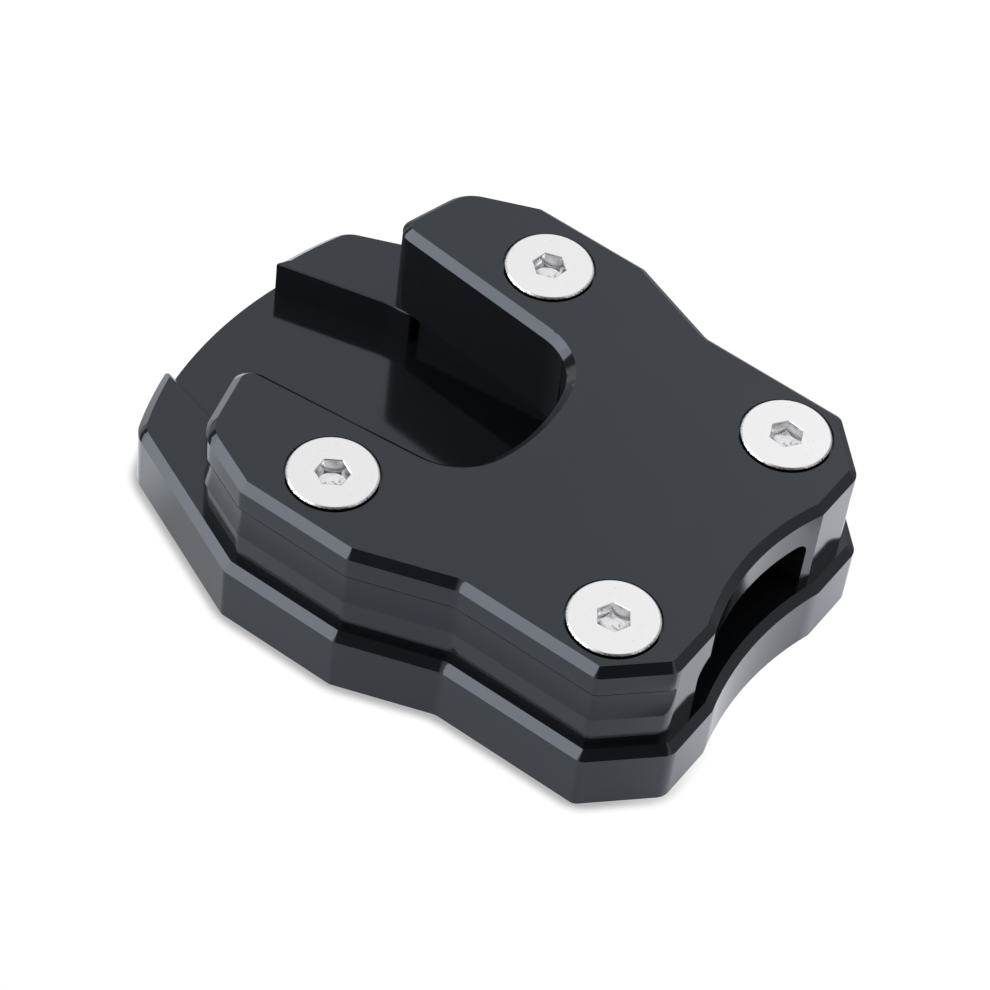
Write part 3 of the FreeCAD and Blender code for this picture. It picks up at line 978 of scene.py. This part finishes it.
@dataclass
class Studio:
    """The pale floor, the white surroundings, the soft box and the camera."""

    floor_size: float = 6.0
    floor_drop: float = 0.02 * MM
    camera_place: tuple = (161.967 * MM, -276.890 * MM, 385.793 * MM)
    camera_right: tuple = (0.8045476, 0.5870709, 0.0897266)
    camera_up: tuple = (-0.4987112, 0.5858182, 0.6388303)
    camera_back: tuple = (0.3224752, -0.5587171, 0.7640975)
    lens: float = 135.49
    sensor: float = 36.0
    clip: tuple = (0.01, 50.0)
    softbox_towards: tuple = (-0.64, -0.64, 0.47)
    softbox_distance: float = 1.2
    softbox_size: tuple = (1.30, 0.60)
    softbox_radiance: float = 3.3
    backdrop: float = 1.0
    surround: float = 1.0
    regions: tuple = (
        Region(towards=(0.52, -0.60, 0.60), level=0.08, core=0.91, rim=0.78),
        Region(towards=(0.79, 0.56, 0.26), level=0.46, core=0.94, rim=0.78),
        Region(towards=(-0.93, -0.24, 0.26), level=0.15, core=0.985, rim=0.965),
        Region(towards=(0.10, 0.80, 0.60), level=1.35, core=0.99, rim=0.85),
    )

    def floor(self, finish: PaleFloorFinish) -> bpy.types.Object:
        """Lay the floor.

        Args:
            finish: the floor's finish.

        Returns:
            The floor.
        """
        bpy.ops.object.select_all(action="DESELECT")
        middle = (0.0, 0.0, -self.floor_drop)
        bpy.ops.mesh.primitive_plane_add(size=self.floor_size, location=middle)
        floor = bpy.context.object
        floor.name = "floor"
        floor.data.materials.append(finish.material())
        return floor

    def surroundings(self) -> None:
        """Make the world: white to the camera, with darker and brighter regions to the object."""
        world = bpy.data.worlds.new("studio")
        bpy.context.scene.world = world
        world.use_nodes = True
        graph = Graph(world.node_tree)
        direction = graph.node("ShaderNodeTexCoord", {}, {}, "Generated")
        level = self.surround
        for region in self.regions:
            towards = Vector(region.towards).normalized()
            product = {"operation": "DOT_PRODUCT"}
            near = graph.node("ShaderNodeVectorMath", product, {0: direction, 1: towards}, "Value")
            level = level + graph.window(near, region.rim, region.core) * (region.level - level)
        around = graph.node("ShaderNodeBackground", {}, {"Color": WHITE, "Strength": level})
        white = graph.node("ShaderNodeBackground", {}, {"Color": WHITE, "Strength": self.backdrop})
        camera = graph.node("ShaderNodeLightPath", {}, {}, "Is Camera Ray")
        shown = graph.node("ShaderNodeMixShader", {}, {0: camera, 1: around, 2: white})
        graph.node("ShaderNodeOutputWorld", {}, {"Surface": shown})

    def softbox(self) -> bpy.types.Object:
        """Hang the soft box, which faces the object from the left.

        Returns:
            The soft box's lamp.
        """
        width, height = self.softbox_size
        data = bpy.data.lights.new("left_softbox", "AREA")
        data.shape = "RECTANGLE"
        data.size, data.size_y = width, height
        data.energy = self.softbox_radiance * width * height * math.pi
        lamp = bpy.data.objects.new("left_softbox", data)
        bpy.context.scene.collection.objects.link(lamp)
        outward = Vector(self.softbox_towards).normalized()
        lamp.location = outward * self.softbox_distance
        lamp.rotation_mode = "QUATERNION"
        lamp.rotation_quaternion = (-outward).to_track_quat("-Z", "Y")
        return lamp

    def camera(self) -> bpy.types.Object:
        """Set the camera where the photograph was taken from.

        Returns:
            The camera.
        """
        data = bpy.data.cameras.new("camera")
        data.sensor_width = self.sensor
        data.lens = self.lens
        data.clip_start, data.clip_end = self.clip
        camera = bpy.data.objects.new("camera", data)
        bpy.context.scene.collection.objects.link(camera)
        turn = Matrix((self.camera_right, self.camera_up, self.camera_back)).transposed()
        camera.matrix_world = Matrix.Translation(self.camera_place) @ turn.to_4x4()
        bpy.context.scene.camera = camera
        return camera

    def build(self) -> None:
        """Build the whole studio."""
        self.floor(PaleFloorFinish())
        self.surroundings()
        self.softbox()
        self.camera()
        bpy.context.scene.view_settings.view_transform = "Standard"
        LOG.info("studio: floor, surroundings, soft box and camera")


def main() -> None:
    """Build every piece in order."""
    logging.basicConfig(level=logging.INFO, format="%(name)s: %(message)s")
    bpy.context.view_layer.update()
    coat = AnodisedFinish().material()
    for plate in Plate:
        MachinedPlate(plate).build(coat)
    screw = SocketScrew()
    for corner in Corner:
        screw.place(corner)
    screw.clear()
    Studio().build()


if __name__ == "__main__":
    main()
